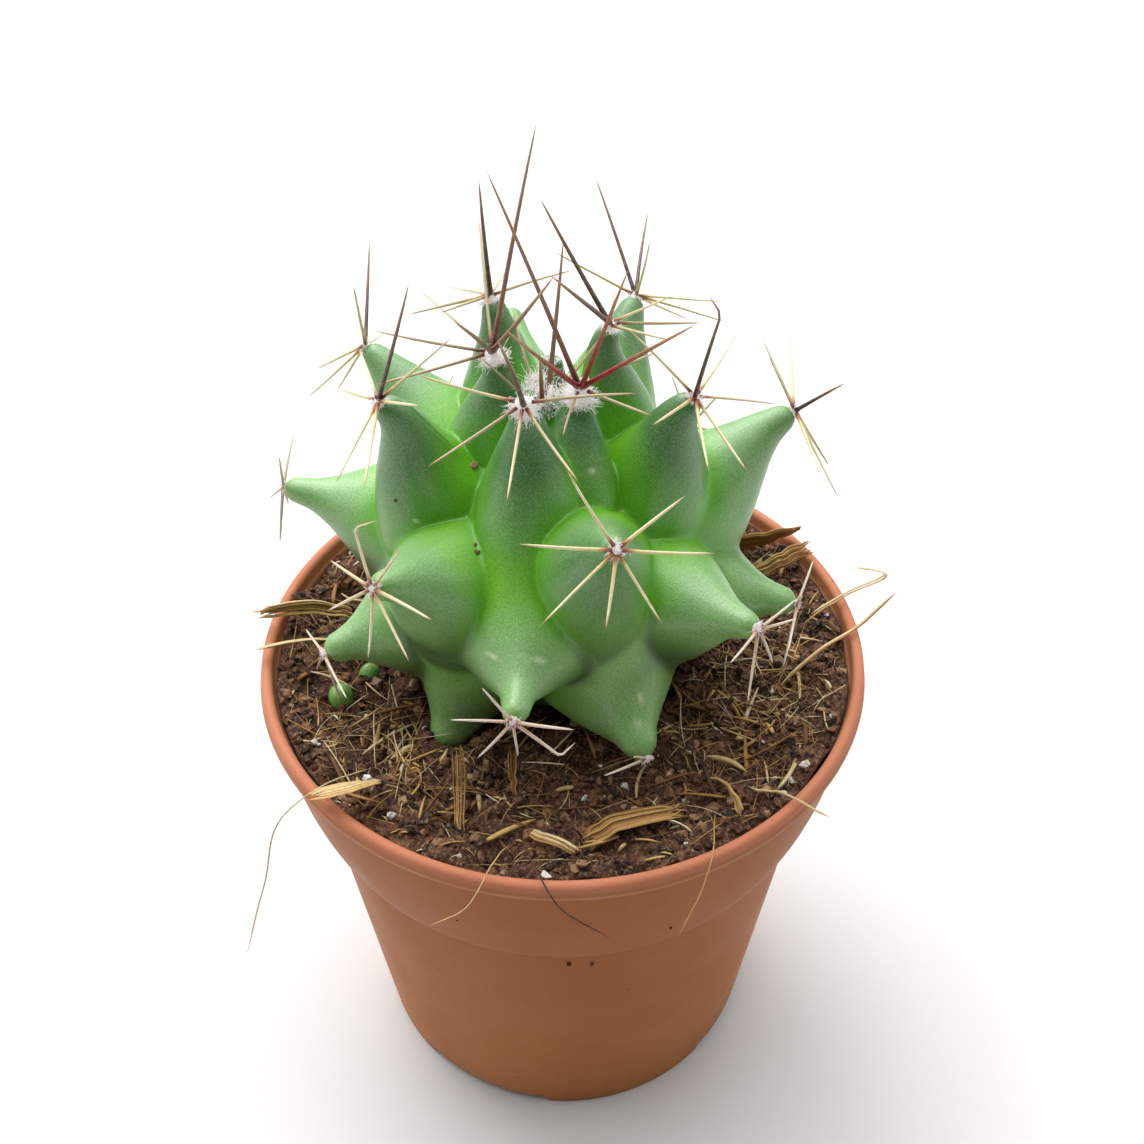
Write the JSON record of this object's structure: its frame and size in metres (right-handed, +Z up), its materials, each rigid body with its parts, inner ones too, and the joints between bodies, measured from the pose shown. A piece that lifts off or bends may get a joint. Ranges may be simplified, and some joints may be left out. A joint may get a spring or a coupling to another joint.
{
  "type": "potted cactus",
  "caption": "Small globe cactus with long pointed tubercles, wool and long spines, planted in peat in a round tapered plastic nursery pot.",
  "frame": {"origin": "on the surface it stands on, under the centre of the pot's foot", "axes": "+Z up; +Y away from the picture's camera, so the side that the picture shows best faces -Y"},
  "size_m": [0.0619, 0.0595, 0.0937],
  "materials": {
    "pot": "satin",
    "soil": "matte",
    "flesh": "satin",
    "spines": "satin",
    "wool": "matte",
    "straw": "matte"
  },
  "bodies": {
    "root": {"pot": "pot", "soil": "soil", "cactus_body": "flesh", "areole_00": "spines", "areole_01": "spines", "areole_02": "spines", "areole_03": "spines", "areole_04": "spines", "areole_05": "spines", "areole_06": "spines", "areole_07": "spines", "areole_08": "spines", "areole_09": "spines", "areole_10": "spines", "areole_11": "spines", "areole_13": "spines", "areole_14": "spines", "areole_15": "spines", "areole_16": "spines", "areole_17": "spines", "areole_18": "spines", "areole_19": "spines", "areole_20": "spines", "areole_21": "spines", "areole_22": "spines", "crown_tuft": "wool", "stick_front_left": "straw", "stick_front_middle": "straw", "bark_curl": "straw", "straw_front": "straw", "straw_front_right": "straw", "fibre_right_long": "straw", "fibre_right_loop": "straw", "straw_back_right_a": "straw", "straw_back_right_b": "straw", "straw_left_a": "straw", "straw_left_b": "straw", "straw_rim_left": "straw", "hair_left_hanging": "straw", "fibre_front_gold": "straw", "fibre_front_dark": "straw", "hair_front_right": "straw", "fibre_rim_back": "straw", "fibre_rim_right": "straw"}
  },
  "joints": []
}
